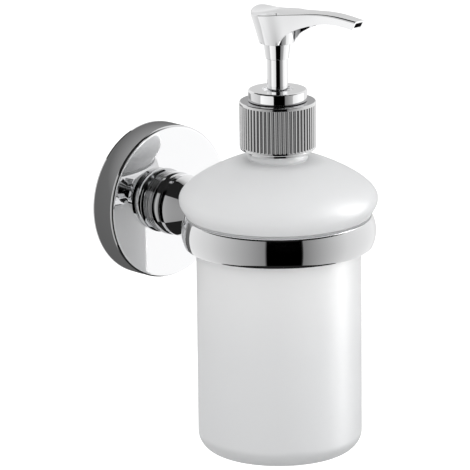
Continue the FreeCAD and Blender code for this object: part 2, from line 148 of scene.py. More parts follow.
class Tree:
    """Adds nodes to a shader or geometry tree."""

    def __init__(self, nodes_owner):
        self.group = nodes_owner

    def node(self, kind, settings=None, inputs=None):
        """Adds a node, sets its settings, and then sets or links its sockets."""
        made = self.group.nodes.new(kind)
        for name, value in (settings or {}).items():
            if name == "stops":
                self.set_stops(made.color_ramp, value)
            else:
                setattr(made, name, value)
        for key, value in (inputs or {}).items():
            self.feed(made.inputs[key], value)
        return made

    def set_stops(self, ramp, stops):
        """Stops of a colour ramp, as (place, grey) or (place, colour)."""
        while len(ramp.elements) < len(stops):
            ramp.elements.new(0.5)
        for element, (place, value) in zip(ramp.elements, stops):
            element.position = place
            element.color = (value, value, value, 1) if isinstance(value, (int, float)) else (*value, 1)

    def feed(self, socket, value):
        if isinstance(value, Number):
            value = value.socket
        if isinstance(value, bpy.types.NodeSocket):
            self.group.links.new(value, socket)
        elif isinstance(value, bpy.types.Node):
            self.group.links.new(value.outputs[0], socket)
        else:
            socket.default_value = value

    def number(self, kind, settings=None, inputs=None, output=0):
        return Number(self, self.node(kind, settings, inputs).outputs[output])


class Finish(Tree):
    """A material with one Principled shader."""

    def __init__(self, name, **constants):
        self.material = bpy.data.materials.new(name)
        self.material.use_nodes = True
        super().__init__(self.material.node_tree)
        self.shader = self.group.nodes["Principled BSDF"]
        self.place = self.node("ShaderNodeTexCoord").outputs["Object"]
        for socket, value in constants.items():
            self.shader.inputs[socket.replace("_", " ")].default_value = value

    def noise(self, scale, detail=2.0, roughness=0.5):
        """Soft noise from 0 to 1, at so many cells a metre."""
        inputs = {"Vector": self.place, "Scale": scale, "Detail": detail, "Roughness": roughness}
        return self.number("ShaderNodeTexNoise", None, inputs)

    def streaks(self, scale, along):
        """Noise drawn out along one axis, as a drawing or brushing leaves it."""
        stretch = [1.0, 1.0, 1.0]
        stretch[along] = 0.04
        mapped = self.node("ShaderNodeMapping", None, {"Vector": self.place, "Scale": stretch})
        return self.number("ShaderNodeTexNoise", None, {"Vector": mapped, "Scale": scale, "Detail": 3.0})

    def bump(self, height, depth, strength=1.0):
        """Bump of so many metres."""
        made = self.node("ShaderNodeBump", None, {"Height": height, "Distance": depth, "Strength": strength})
        self.feed(self.shader.inputs["Normal"], made)

    def tint(self, factor, first, second):
        """Base colour that goes from the first colour to the second."""
        mix = self.node(
            "ShaderNodeMix", {"data_type": "RGBA"}, {"Factor": factor, 6: (*first, 1), 7: (*second, 1)})
        self.feed(self.shader.inputs["Base Color"], mix.outputs[2])

    def set(self, socket, value):
        self.feed(self.shader.inputs[socket], value)


# ---------------------------------------------------------------- finishes

def polished_chrome(name, ripple):
    """Mirror chrome with a trace of polishing haze and a very shallow ripple from what is under it."""
    finish = Finish(name, Metallic=1.0, Specular_IOR_Level=0.5)
    haze = finish.noise(55.0, 4.0, 0.6)
    specks = finish.noise(900.0, 2.0)
    finish.tint(haze, (0.90, 0.905, 0.915), (0.93, 0.93, 0.935))
    finish.set("Roughness", 0.018 + haze * 0.03 + (specks > 0.72) * 0.03)
    finish.bump(finish.noise(240.0, 1.0), ripple)
    return finish.material


def ribbed_chrome():
    """The cap's chrome, with painted shade darkening the valleys between its ribs, which are also rougher.
    """
    finish = Finish("ribbed_chrome", Metallic=1.0)
    parts = finish.node("ShaderNodeSeparateXYZ", None, {"Vector": finish.place})
    aside, along_post = Number(finish, parts.outputs[0]), Number(finish, parts.outputs[1]) + REACH * MM
    depth = (aside * aside + along_post * along_post) ** 0.5
    groove = finish.number("ShaderNodeMapRange", None, {
        "Value": depth, "From Min": (CAP_R - 0.62) * MM, "From Max": (CAP_R - 0.15) * MM})
    haze = finish.noise(420.0, 3.0)
    # Painted shade: base colour darkened in the valleys between the ribs.
    finish.tint(groove, (0.36, 0.36, 0.37), (0.93, 0.93, 0.935))
    finish.set("Roughness", 0.12 - groove * 0.085 + haze * 0.04)
    finish.bump(haze, 0.0000007)
    return finish.material


def frosted_glass():
    """Acid etched clear glass: a fine satin grain that scatters what is behind it. Its base colour is
    painted shade by height, which also hints at the soap inside: darker towards the bottom, darkest in the
    thick base."""
    finish = Finish("frosted_glass", IOR=1.5, Transmission_Weight=0.35)
    grain = finish.noise(5200.0, 2.0, 0.7)
    cloud = finish.noise(38.0, 3.0, 0.5)
    parts = finish.node("ShaderNodeSeparateXYZ", None, {"Vector": finish.place})
    level = Number(finish, parts.outputs[2]) * 10.0 + 1.0 + cloud * 0.02
    # Painted shade: base colour darker towards the bottom and in the thick base, lightest high on the body.
    finish.set("Base Color", finish.node("ShaderNodeValToRGB", {"stops": [
        (0.07, (0.62, 0.627, 0.635)), (0.15, (0.70, 0.707, 0.715)), (0.17, (0.82, 0.827, 0.835)),
        (0.55, (0.86, 0.866, 0.873)), (0.80, (0.93, 0.933, 0.936)), (0.90, (0.97, 0.972, 0.974)),
        (1.0, (0.90, 0.906, 0.912))]}, {"Fac": level}))
    finish.set("Roughness", 0.40 + cloud * 0.08 + grain * 0.06)
    finish.bump(grain, 0.00001)
    return finish.material


def clear_satin_plastic(name, color, see_through):
    """Natural polypropylene: cloudy, slightly see-through, with faint flow marks."""
    finish = Finish(name, IOR=1.49, Transmission_Weight=see_through)
    flow = finish.streaks(300.0, 2)
    cloud = finish.noise(160.0, 3.0)
    deeper = tuple(value * 0.93 for value in color)
    finish.tint(cloud, deeper, color)
    finish.set("Roughness", 0.26 + flow * 0.16)
    finish.bump(flow, 0.00001)
    return finish.material


def moulded_plastic(name, color):
    """White moulding with a soft gloss and the faint orange peel of its mould."""
    finish = Finish(name, IOR=1.46, Coat_Weight=0.25, Coat_Roughness=0.18)
    peel = finish.noise(1400.0, 2.0)
    cloud = finish.noise(90.0, 2.0)
    deeper = tuple(value * 0.95 for value in color)
    finish.tint(cloud, deeper, color)
    finish.set("Roughness", 0.28 + peel * 0.14)
    finish.bump(peel, 0.000012)
    return finish.material


def plated_steel():
    """Zinc plate: a dull grey spangle with brushed streaks."""
    finish = Finish("zinc_steel", Metallic=1.0)
    spangle = finish.number(
        "ShaderNodeTexVoronoi", None, {"Vector": finish.place, "Scale": 420.0, "Randomness": 1.0})
    streak = finish.streaks(900.0, 0)
    finish.tint(spangle, (0.50, 0.52, 0.55), (0.66, 0.67, 0.68))
    finish.set("Roughness", 0.26 + spangle * 0.12 + streak * 0.12)
    finish.bump(streak, 0.000015)
    return finish.material


def drawn_steel():
    """Bright drawn wire with fine die lines."""
    finish = Finish("spring_steel", Metallic=1.0)
    lines = finish.streaks(2600.0, 2)
    finish.tint(lines, (0.56, 0.56, 0.57), (0.72, 0.72, 0.73))
    finish.set("Roughness", 0.16 + lines * 0.14)
    finish.bump(lines, 0.000006)
    return finish.material


def soft_rubber():
    """Grey elastomer with a dusty surface."""
    finish = Finish("gasket_rubber", IOR=1.5)
    dust = finish.noise(2200.0, 4.0, 0.7)
    finish.tint(dust, (0.42, 0.42, 0.41), (0.52, 0.52, 0.51))
    finish.set("Roughness", 0.66 + dust * 0.2)
    finish.bump(dust, 0.00003)
    return finish.material


FINISHES = {
    "chrome": polished_chrome("chrome", 0.0000004),
    "pump_chrome": polished_chrome("pump_chrome", 0.0000007),
    "frosted_glass": frosted_glass(),
    "liner_plastic": clear_satin_plastic("liner_plastic", (0.86, 0.87, 0.88), 0.5),
    "tube_plastic": clear_satin_plastic("tube_plastic", (0.88, 0.89, 0.90), 0.6),
    "white_plastic": moulded_plastic("white_plastic", (0.84, 0.84, 0.83)),
    "seal_plastic": clear_satin_plastic("seal_plastic", (0.78, 0.79, 0.80), 0.15),
    "zinc_steel": plated_steel(),
    "spring_steel": drawn_steel(),
    "gasket_rubber": soft_rubber(),
}
RIB_FINISH = ribbed_chrome()
# Painted shade: the nozzle's bore is near black, standing for the shade inside the hole.
BORE_SHADE = moulded_plastic("spout_bore_shade", (0.035, 0.035, 0.04))
NODE_SLOT = {piece["node"]: piece["material_slot"] for piece in frame["record"]["subparts"]}


def dress_cad_nodes():
    """Gives every carried-over node the finish of its slot."""
    for name, piece in frame["nodes"].items():
        finish = FINISHES[NODE_SLOT[name]]
        if not piece.material_slots:
            piece.data.materials.append(finish)
        for place in piece.material_slots:
            place.material = finish


# ---------------------------------------------------------------- turned pieces

def bezier(start, control_a, control_b, end, steps=24):
    """Points of a cubic curve, without its first."""
    points = []
    for k in range(1, steps + 1):
        t = k / steps
        weights = ((1 - t) ** 3, 3 * t * (1 - t) ** 2, 3 * t * t * (1 - t), t ** 3)
        run = (start, control_a, control_b, end)
        points.append(tuple(sum(w * p[i] for w, p in zip(weights, run)) for i in (0, 1)))
    return points


def softened(outline, steps=5):
    """Rounds each corner given as (radius, height, round). A pair is a point of a smooth curve and is
    kept. Long straight runs get a point near each end, so that flat faces shade flat."""
    count = len(outline)
    points = []
    for k, item in enumerate(outline):
        here = Vector(item[:2])
        if len(item) == 2:
            points.append(here)
            continue
        before = Vector(outline[k - 1][:2])
        after = Vector(outline[(k + 1) % count][:2])
        back, ahead = (before - here), (after - here)
        angle = back.angle(ahead)
        cut = min(item[2] / math.tan(angle / 2), back.length * 0.45, ahead.length * 0.45)
        start = here + back.normalized() * cut
        end = here + ahead.normalized() * cut
        hold = min(cut, 0.25)
        if back.length > 3 * (cut + hold):
            points.append(start + back.normalized() * hold)
        centre = here + (back.normalized() + ahead.normalized()).normalized() * (cut / math.cos(angle / 2))
        radius = (start - centre).length
        for j in range(steps + 1):
            blend = start.lerp(end, j / steps) - centre
            points.append(centre + blend.normalized() * radius)
        if ahead.length > 3 * (cut + hold):
            points.append(end + ahead.normalized() * hold)
    return [(max(p[0], 0.0), p[1]) for p in points]


def on_bottle_axis(radius, turn, height):
    return Vector((radius * math.cos(turn), radius * math.sin(turn) - REACH, height)) * MM


def on_post_axis(radius, turn, away):
    return Vector((radius * math.cos(turn), -away, radius * math.sin(turn))) * MM


def lathe(outline, place=on_bottle_axis, segments=160):
    """Mesh turned from a closed outline."""
    bm = bmesh.new()
    points = softened(outline)
    rings = []
    for radius, height in points:
        if radius < 1e-6:
            rings.append([bm.verts.new(place(0, 0, height))] * segments)
        else:
            rings.append([
                bm.verts.new(place(radius, 2 * math.pi * k / segments, height)) for k in range(segments)])
    for first, second in zip(rings, rings[1:] + rings[:1]):
        for k in range(segments):
            j = (k + 1) % segments
            corners = []
            for vert in (first[k], first[j], second[j], second[k]):
                if vert not in corners:
                    corners.append(vert)
            if len(corners) > 2:
                bm.faces.new(corners)
    bmesh.ops.recalc_face_normals(bm, faces=bm.faces)
    return finished_mesh(bm)


def finished_mesh(bm):
    mesh = bpy.data.meshes.new("shape")
    for face in bm.faces:
        face.smooth = True
    bm.to_mesh(mesh)
    bm.free()
    return mesh


def add_piece(name, mesh, body, stands_for, finishes=None):
    """Puts a mesh in the scene as a piece that replaces CAD nodes and moves with a body."""
    piece = bpy.data.objects.new(name, mesh)
    bpy.context.scene.collection.objects.link(piece)
    slot = NODE_SLOT[stands_for[0]]
    indices = [face.material_index for face in mesh.polygons]
    mesh.materials.clear()
    for finish in finishes or [FINISHES[slot]]:
        mesh.materials.append(finish)
    mesh.polygons.foreach_set("material_index", indices if finishes else [0] * len(indices))
    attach(piece, body)
    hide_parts(*stands_for)
    return piece


def baked(piece):
    """The mesh of an object with its modifiers applied; the object is removed."""
    bpy.context.view_layer.update()
    evaluated = piece.evaluated_get(bpy.context.evaluated_depsgraph_get())
    mesh = bpy.data.meshes.new_from_object(evaluated)
    bpy.data.objects.remove(piece)
    return mesh


def loose_object(mesh):
    piece = bpy.data.objects.new("work", mesh)
    bpy.context.scene.collection.objects.link(piece)
    return piece


def carved(mesh, cutters, bevel=0.0):
    """Cuts closed meshes out of a mesh, and may round the edges left."""
    piece = loose_object(mesh)
    tools = []
    for cutter in cutters:
        tool = loose_object(cutter)
        cut = piece.modifiers.new("cut", "BOOLEAN")
        cut.operation = "DIFFERENCE"
        cut.solver = "EXACT"
        cut.object = tool
        cut.material_mode = "TRANSFER"
        tools.append(tool)
    if bevel:
        edge = piece.modifiers.new("edge", "BEVEL")
        edge.width = bevel
        edge.segments = 3
        edge.limit_method = "ANGLE"
        edge.angle_limit = math.radians(40)
        edge.harden_normals = True
    result = baked(piece)
    for tool in tools:
        bpy.data.objects.remove(tool)
    return result


# ---------------------------------------------------------------- wall mount

def make_flange_cover():
    wall = 1.8
    bore = 3.05
    outline = [
        (COVER_R - wall, WALL, EDGE), (COVER_R, WALL, EDGE), (COVER_R, COVER_FAR, COVER_EDGE),
        (bore, COVER_FAR, EDGE), (bore, COVER_FAR - wall, EDGE), (COVER_R - wall, COVER_FAR - wall, 0.5)]
    cover = lathe(outline, on_post_axis, 256)
    low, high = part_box("grub_screw")
    centre = (low[1] + high[1]) / 2
    radius = (high[0] - low[0]) / 2 + 0.00005
    drill = bmesh.new()
    at = Matrix.Translation((0, centre, -COVER_R * MM))
    bmesh.ops.create_cone(
        drill, cap_ends=True, segments=48, radius1=radius, radius2=radius, depth=0.008, matrix=at)
    hole = bpy.data.meshes.new("hole")
    drill.to_mesh(hole)
    drill.free()
    add_piece("flange_cover_polished", carved(cover, [hole]), "wall_mount", ["flange_cover"])


def make_post_rings():
    bore = 3.05
    for name, radius, near, far in (
            ("foot", FOOT_R, FOOT_NEAR, FOOT_FAR), ("groove", GROOVE_R, GROOVE_NEAR, GROOVE_FAR)):
        half = (far - near) / 2
        outline = [
            (bore, near, EDGE), (radius, near, half * 0.8), (radius, far, half * 0.8), (bore, far, EDGE)]
        add_piece(
            "post_" + name + "_ring_polished", lathe(outline, on_post_axis, 128), "wall_mount",
            ["post_" + name + "_ring"])


def band_surface(across, height):
    """Distance from the bottle's axis, along the post, to the band's outer face."""
    half = (BAND_HIGH - BAND_LOW) / 2
    sag = 1.5
    bulge = (half * half + sag * sag) / (2 * sag)
    radius = BAND_R - bulge + math.sqrt(max(bulge * bulge - height * height, 0.0))
    return math.sqrt(radius * radius - across * across)


def make_post_knob():
    neck = 5.6
    start = KNOB_NEAR
    outline = [(0.0, start), (KNOB_R - 1.0, start, EDGE), (KNOB_R, start + 0.7, 0.5)]
    outline += bezier(
        (KNOB_R, start + 1.2), (KNOB_R - 0.02, start + 2.6), (KNOB_R - 0.3, start + 3.5),
        (KNOB_R - 1.0, start + 4.2))
    outline += [
        (KNOB_R - 1.3, start + 4.5, 0.1), (KNOB_R - 0.6, start + 4.8, 0.2), (KNOB_R - 0.6, start + 6.9, 0.4)]
    outline += bezier(
        (KNOB_R - 0.78, start + 7.3), (KNOB_R - 2.1, start + 10.1), (neck + 2.4, start + 15.0),
        (neck, start + 19), 40)
    outline += [(neck, KNOB_FAR), (0.0, KNOB_FAR)]
    mesh = lathe(outline, on_post_axis, 160)
    for vert in mesh.vertices:
        if -vert.co.y / MM > start + 19.5:
            vert.co.y = (band_surface(vert.co.x / MM, vert.co.z / MM) - REACH) * MM
    add_piece("post_knob_polished", mesh, "wall_mount", ["post_knob"])


def make_ring_holder():
    steps = 18
    half = (BAND_HIGH - BAND_LOW) / 2
    outline = [(BAND_BORE, BAND_LOW, 0.3), (band_surface(0, half) - 0.35, BAND_LOW, 0.25)]
    for k in range(steps + 1):
        height = (half - 0.35) * (2 * k / steps - 1)
        outline.append((band_surface(0, height), height))
    outline += [(band_surface(0, half) - 0.35, BAND_HIGH, 0.25), (BAND_BORE, BAND_HIGH, 0.3)]
    band = lathe(outline, segments=256)
    add_piece("ring_holder_polished", band, "wall_mount", ["ring_holder", "ring_screw"])


def make_ring_liner():
    bore = BODY_R + 0.4
    outer = BAND_BORE - 0.08
    lip_low = BAND_HIGH + 0.05
    outline = [
        (bore, LINER_LOW, 0.3), (outer, LINER_LOW, 0.3), (outer, lip_low, EDGE), (LINER_R, lip_low, 0.15),
        (LINER_R, LINER_HIGH, 0.3), (bore + 1.5, LINER_HIGH, 0.3), (bore, LINER_HIGH - 1.8, 0.3)]
    add_piece("ring_liner_moulded", lathe(outline, segments=192), "liner", ["ring_liner"])


# ---------------------------------------------------------------- bottle

def coil_tree():
    """Geometry tree: a wire wound into a coil about the bottle's axis, added to the incoming mesh."""
    group = bpy.data.node_groups.new("coil", "GeometryNodeTree")
    face = group.interface
    face.new_socket("Geometry", in_out="INPUT", socket_type="NodeSocketGeometry")
    for name in ("Turns", "Radius", "Wire radius", "Height"):
        face.new_socket(name, in_out="INPUT", socket_type="NodeSocketFloat")
    face.new_socket("Foot", in_out="INPUT", socket_type="NodeSocketVector")
    face.new_socket("Finish", in_out="INPUT", socket_type="NodeSocketMaterial")
    face.new_socket("Geometry", in_out="OUTPUT", socket_type="NodeSocketGeometry")
    tree = Tree(group)
    given = tree.node("NodeGroupInput").outputs
    coil = tree.node("GeometryNodeCurveSpiral", None, {
        "Resolution": 72, "Rotations": given["Turns"], "Start Radius": given["Radius"],
        "End Radius": given["Radius"], "Height": given["Height"]})
    section = tree.node("GeometryNodeCurvePrimitiveCircle", None, {
        "Resolution": 14, "Radius": given["Wire radius"]})
    wire = tree.node("GeometryNodeCurveToMesh", None, {
        "Curve": coil, "Profile Curve": section, "Fill Caps": True})
    put = tree.node("GeometryNodeTransform", None, {"Geometry": wire, "Translation": given["Foot"]})
    joined = tree.node("GeometryNodeJoinGeometry", None, {"Geometry": given["Geometry"]})
    group.links.new(put.outputs[0], joined.inputs["Geometry"])
    finish_tree(tree, joined, given["Finish"])
    return group


def finish_tree(tree, geometry, finish):
    """The end that both trees share: real geometry, smooth, with its material."""
    real = tree.node("GeometryNodeRealizeInstances", None, {"Geometry": geometry})
    smooth = tree.node("GeometryNodeSetShadeSmooth", None, {"Geometry": real})
    dressed = tree.node("GeometryNodeSetMaterial", None, {"Geometry": smooth, "Material": finish})
    tree.node("NodeGroupOutput", None, {"Geometry": dressed})


def grown(mesh, group, values):
    """Runs a geometry tree on a mesh, with its inputs given by name."""
    piece = loose_object(mesh)
    grow = piece.modifiers.new("grow", "NODES")
    grow.node_group = group
    for item in group.interface.items_tree:
        if item.in_out == "INPUT" and item.name in values:
            grow[item.identifier] = values[item.name]
    return baked(piece)


def make_bottle(coil):
    glass = 3.0
    inner = BODY_R - glass
    floor_top = BOTTLE_LOW + 3.3
    seat = LINER_HIGH + 0.05
    rim = 13.6
    shoulder = (20.15, 28.56)
    neck, bead, land, mouth = 11.2, 12.2, 12.05, 9.2
    outline = [(0.0, BOTTLE_LOW + 0.8), (22.0, BOTTLE_LOW + 0.8, 1.0), (24.2, BOTTLE_LOW, 0.8)]
    corner = 7.8
    for k in range(17):
        turn = math.pi / 2 * k / 16
        outline.append((
            BODY_R - corner + corner * math.sin(turn), BOTTLE_LOW + corner - corner * math.cos(turn)))
    outline += [(BODY_R, -70.0), (BODY_R, -40.0), (BODY_R, -10.0)]
    outline += [(BODY_R, seat, 1.5), (37.5, seat, 0.4)]
    outline += bezier((37.9, seat + 0.9), (39.6, 10.4), (DOME_R, 11.6), (DOME_R, rim), 14)
    outline += bezier((DOME_R, rim), (DOME_R, rim + 5.56), (27.26, 25.57), shoulder, 48)
    outline += bezier(shoulder, (17.0, 29.9), (14.0, 29.3), (bead - 0.4, 29.9), 20)
    outline += bezier((bead - 0.4, 29.9), (bead + 0.15, 30.6), (bead + 0.15, 31.8), (bead - 0.4, 32.5), 10)
    outline += [
        (land, NECK_RING_LOW, EDGE), (land, NECK_RING_HIGH, 0.3), (neck, NECK_RING_HIGH, 0.5),
        (neck, BOTTLE_HIGH, 0.5), (mouth, BOTTLE_HIGH, 0.5), (mouth, 27.0, 1.0)]
    outline += bezier((14.5, 26.2), (19.0, 25.6), (25.0, 22.9), (28.0, 21.5), 12)
    outline += bezier((28.0, 21.5), (33.0, 19.3), (DOME_R - glass, 17.5), (DOME_R - glass, rim), 20)
    outline += bezier((DOME_R - glass, rim), (DOME_R - glass, 9.6), (inner, 9.0), (inner, 4.0), 16)
    for k in range(9):
        turn = math.pi / 2 * k / 8
        outline.append((inner - 3 + 3 * math.cos(turn), floor_top + 3 - 3 * math.sin(turn)))
    outline.append((0.0, floor_top))
    mesh = grown(lathe(outline, segments=192), coil, {
        "Turns": 1.5, "Radius": (neck + 0.05) * MM, "Wire radius": 0.78 * MM, "Height": 4.23 * 1.5 * MM,
        "Foot": (0, -REACH * MM, 38.0 * MM), "Finish": FINISHES["frosted_glass"]})
    add_piece("bottle_frosted", mesh, "bottle", ["bottle"])


def make_neck_ring():
    bore = 12.1
    outline = [
        (bore, NECK_RING_LOW, EDGE), (NECK_RING_R, NECK_RING_LOW, 0.3), (NECK_RING_R, NECK_RING_HIGH, 0.3),
        (bore, NECK_RING_HIGH, EDGE)]
    add_piece("neck_ring_polished", lathe(outline), "bottle", ["neck_ring"])


# ---------------------------------------------------------------- cap and collar

def ribs_tree():
    """Geometry tree: upright half-round ribs in a ring about the bottle's axis, added to the cap."""
    group = bpy.data.node_groups.new("ribs", "GeometryNodeTree")
    face = group.interface
    face.new_socket("Geometry", in_out="INPUT", socket_type="NodeSocketGeometry")
    face.new_socket("Count", in_out="INPUT", socket_type="NodeSocketInt")
    for name in ("Ring radius", "Rib radius"):
        face.new_socket(name, in_out="INPUT", socket_type="NodeSocketFloat")
    for name in ("Foot", "Run"):
        face.new_socket(name, in_out="INPUT", socket_type="NodeSocketVector")
    face.new_socket("Finish", in_out="INPUT", socket_type="NodeSocketMaterial")
    face.new_socket("Geometry", in_out="OUTPUT", socket_type="NodeSocketGeometry")
    tree = Tree(group)
    given = tree.node("NodeGroupInput").outputs
    circle = tree.node("GeometryNodeMeshCircle", None, {
        "Vertices": given["Count"], "Radius": given["Ring radius"]})
    line = tree.node("GeometryNodeCurvePrimitiveLine", None, {"End": given["Run"]})
    section = tree.node("GeometryNodeCurvePrimitiveCircle", None, {
        "Resolution": 16, "Radius": given["Rib radius"]})
    rib = tree.node("GeometryNodeCurveToMesh", None, {
        "Curve": line, "Profile Curve": section, "Fill Caps": True})
    ribs = tree.node("GeometryNodeInstanceOnPoints", None, {"Points": circle, "Instance": rib})
    put = tree.node("GeometryNodeTransform", None, {"Geometry": ribs, "Translation": given["Foot"]})
    joined = tree.node("GeometryNodeJoinGeometry", None, {"Geometry": given["Geometry"]})
    group.links.new(put.outputs[0], joined.inputs["Geometry"])
    finish_tree(tree, joined, given["Finish"])
    return group


def make_cap_shell():
    shell = 1.0
    band = 1.3
    rib = 0.76
    opening = 8.3
    core = CAP_R - 0.8
    outline = [
        (CAP_R - shell, CAP_LOW, EDGE), (CAP_R - 0.15, CAP_LOW, 0.35), (CAP_R - 0.15, CAP_LOW + band, EDGE),
        (core, CAP_LOW + band + 0.1, EDGE), (core, CAP_HIGH - band - 0.1, EDGE),
        (CAP_R, CAP_HIGH - band, EDGE), (CAP_R, CAP_HIGH, 0.55), (opening, CAP_HIGH, 0.2),
        (opening, CAP_HIGH - shell, EDGE), (CAP_R - shell, CAP_HIGH - shell, 0.2)]
    mesh = grown(lathe(outline, segments=216), ribs_tree(), {
        "Count": RIBS, "Ring radius": (CAP_R - rib) * MM, "Rib radius": rib * MM,
        "Foot": (0, -REACH * MM, (CAP_LOW + band - 0.3) * MM),
        "Run": (0, 0, (CAP_HIGH - CAP_LOW - 2 * band + 0.6) * MM), "Finish": RIB_FINISH})
    add_piece("cap_shell_ribbed", mesh, "screw_cap", ["cap_shell"], [RIB_FINISH])


def make_collar():
    socket = 8.05
    hole = STEM_R + 0.08
    recess = 6.2
    outline = [
        (socket, COLLAR_LOW, EDGE), (COLLAR_R, COLLAR_LOW, 0.2), (COLLAR_R, COLLAR_HIGH, 0.8),
        (recess, COLLAR_HIGH, 0.2), (recess, COLLAR_HIGH - 0.9, EDGE), (hole, COLLAR_HIGH - 0.9, EDGE),
        (hole, 56.25, EDGE), (socket, 56.25, EDGE)]
    add_piece("collar_polished", lathe(outline), "pump", ["collar"])


# ---------------------------------------------------------------- stem and head

def make_stem():
    bore = 2.6
    sleeve = [
        (bore, STEM_LOW, EDGE), (STEM_R, STEM_LOW, 0.2), (STEM_R, STEM_HIGH, EDGE), (bore, STEM_HIGH, EDGE)]
    add_piece("stem_sleeve_polished", lathe(sleeve, segments=96), "head", ["stem_sleeve"])
    foot = FERRULE_R - 0.75
    ferrule = [
        (STEM_R + 0.05, FERRULE_LOW, EDGE), (foot, FERRULE_LOW, 0.25), (FERRULE_R, FERRULE_HIGH, 0.15),
        (bore, FERRULE_HIGH, EDGE), (bore, STEM_HIGH + 0.05, EDGE), (STEM_R + 0.05, STEM_HIGH + 0.05, EDGE)]
    add_piece("stem_ferrule_polished", lathe(ferrule, segments=96), "head", ["stem_ferrule"])


def along(points, place):
    """Value of a smooth curve through (place, value) points."""
    places = [p for p, _ in points]
    if place <= places[0]:
        return points[0][1]
    if place >= places[-1]:
        return points[-1][1]
    k = max(i for i, p in enumerate(places) if p <= place)
    k = min(k, len(points) - 2)
    slopes = []
    for i in (k, k + 1):
        low, high = max(i - 1, 0), min(i + 1, len(points) - 1)
        slopes.append((points[high][1] - points[low][1]) / (points[high][0] - points[low][0]))
    step = places[k + 1] - places[k]
    t = (place - places[k]) / step
    start, end = points[k][1], points[k + 1][1]
    return (start * (2 * t ** 3 - 3 * t * t + 1) + step * slopes[0] * (t ** 3 - 2 * t * t + t)
            + end * (3 * t * t - 2 * t ** 3) + step * slopes[1] * (t ** 3 - t * t))


# The head in stations from its round back to the spout's tip: distance from the bottle's axis along the
# spout, against half the width or the height.
TOP_HALF = [(0, 10.8), (4, 10.1), (8, 8.5), (12.4, 7.4), (21.4, 5.3), (27, 4.3), (36, 3.6), (47.3, 2.85)]
TOP_EDGE = [(-10.8, 92.15), (-9.8, 91.4), (-8.3, 90.6), (-6.5, 90.1), (-4, 90.05), (0, 90.4), (8, 91.4),
            (17, 92.6), (27, 93.8), (36, 94.1), (47.3, 93.45)]
LOW_HALF = [(5.3, 5.0), (10.6, 5.1), (20, 4.5), (30.7, 3.6), (45.3, 2.75)]
LOW_EDGE = [(5.3, 77.8), (6.4, 79.6), (7.8, 81.3), (9.6, 82.7), (12.2, 84.1), (14.6, 85.3), (19.5, 87.2),
            (25.2, 89.0), (30.0, 90.0), (34.8, 90.5), (39.6, 90.4), (45.3, 89.9)]
DISH = [(-10.8, 0.9), (6, 1.3), (16, 0.7), (26, 0.0), (47.3, -0.15)]
POCKET = [(5.3, 8.0), (12, 5.5), (18, 2.0), (24, 0.9), (34, 0.5), (45.3, 0.35)]


def head_stations():
    """Outline points in pairs: the top's with its centre-line place, the bottom's with its height."""
    stations = []
    back_steps, front_steps = 28, 64
    low_r = 7.3
    front_low = LOW_EDGE[0][0]
    split = math.pi - math.asin(LOW_HALF[0][1] / low_r)
    for k in range(back_steps):
        t = k / back_steps
        turn = t * math.pi / 2
        low_turn = t * split * 0.8
        top = (HEAD_R * math.sin(turn), -HEAD_R * math.cos(turn))
        low = (low_r * math.sin(low_turn), -low_r * math.cos(low_turn))
        stations.append((top, 0.0, low, HEAD_LOW))
    first_low = 0.8 * split
    for k in range(front_steps + 1):
        t = k / front_steps
        reach = SPOUT_REACH * t
        bend = min(reach / 8.0, 1.0)
        if bend < 1:
            low_turn = first_low + (split - first_low) * bend
            low = (low_r * math.sin(low_turn), -low_r * math.cos(low_turn))
            low_z = HEAD_LOW
        else:
            share = (reach - 8.0) / (SPOUT_REACH - 8.0)
            place = front_low + (LOW_EDGE[-1][0] - front_low) * share
            low = (along(LOW_HALF, place), place)
            low_z = along(LOW_EDGE, place)
        stations.append(((along(TOP_HALF, reach), reach), reach, low, low_z))
    return stations


